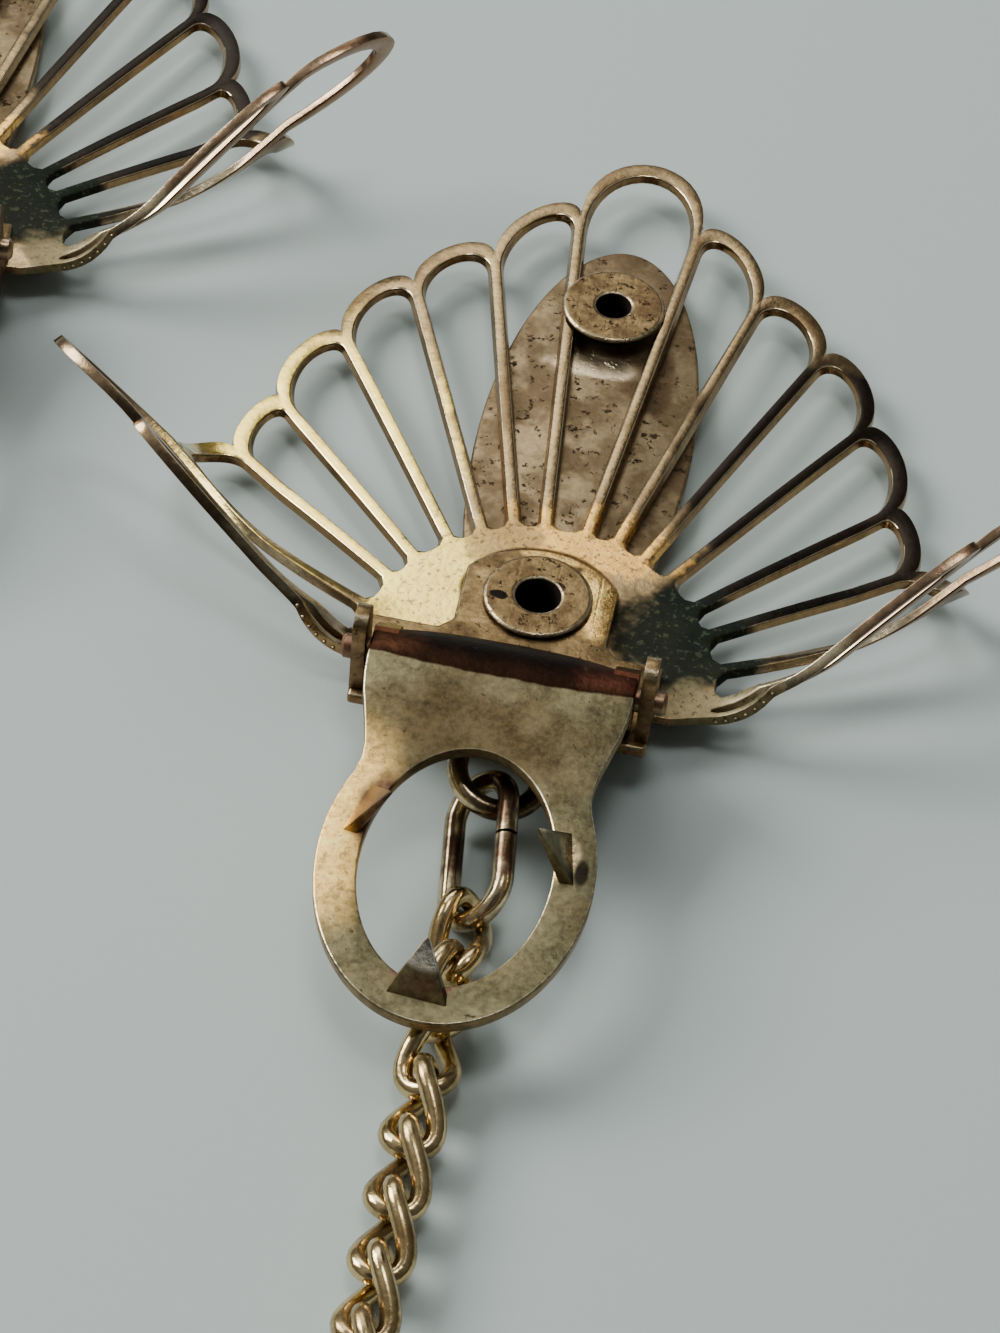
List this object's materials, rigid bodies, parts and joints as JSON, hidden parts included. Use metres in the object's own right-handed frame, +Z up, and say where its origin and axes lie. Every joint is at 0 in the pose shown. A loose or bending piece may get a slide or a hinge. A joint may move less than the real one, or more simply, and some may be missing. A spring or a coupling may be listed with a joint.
{
  "type": "sweater clip",
  "caption": "Pair of pierced fan clips with hinged toothed levers on their backs, joined by a curb chain.",
  "frame": {"origin": "centre of the flat head of clip A's lower rivet, on the table that the part lies on", "axes": "+Z up from the table to the clips' backs; +Y from clip A's lever along its fan to the middle loop; +X across clip A's fan, its hinge pin's line"},
  "size_m": [0.069, 0.0886, 0.0087],
  "materials": {
    "fan_gold": "aged pale gold plating, worn, dark in the recesses",
    "plate_bronze": "mottled brown patina",
    "rivet_copper": "worn gold over copper",
    "bracket_gold": "worn gold with brown specks",
    "pin_dark": "darkened",
    "lever_gold": "olive gold, scratched",
    "ring_dark": "dark brown gold",
    "chain_gold": "worn gold"
  },
  "bodies": {
    "clips": {"fan_a": "fan_gold", "oval_plate_a": "plate_bronze", "upper_rivet_a": "rivet_copper", "lower_rivet_a": "rivet_copper", "bracket_a": "bracket_gold", "hinge_pin_a": "pin_dark", "ring_1_a": "ring_dark", "ring_2_a": "ring_dark", "fan_b": "fan_gold", "oval_plate_b": "plate_bronze", "upper_rivet_b": "rivet_copper", "lower_rivet_b": "rivet_copper", "bracket_b": "bracket_gold", "hinge_pin_b": "pin_dark", "ring_1_b": "ring_dark", "ring_2_b": "ring_dark", "chain": "chain_gold"},
    "lever_a": {"lever_a": "lever_gold"},
    "lever_b": {"lever_b": "lever_gold"}
  },
  "joints": [
    {"name": "lever_a_hinge", "type": "hinge", "parent": "clips", "child": "lever_a", "pos_m": [-0.00041, -0.00525, 0.0037], "axis": [-1, 0, 0], "range_deg": [0, 160]},
    {"name": "lever_b_hinge", "type": "hinge", "parent": "clips", "child": "lever_b", "pos_m": [-0.02911, 0.01111, 0.0037], "axis": [-0.993, -0.1177, 0], "range_deg": [0, 160]}
  ]
}
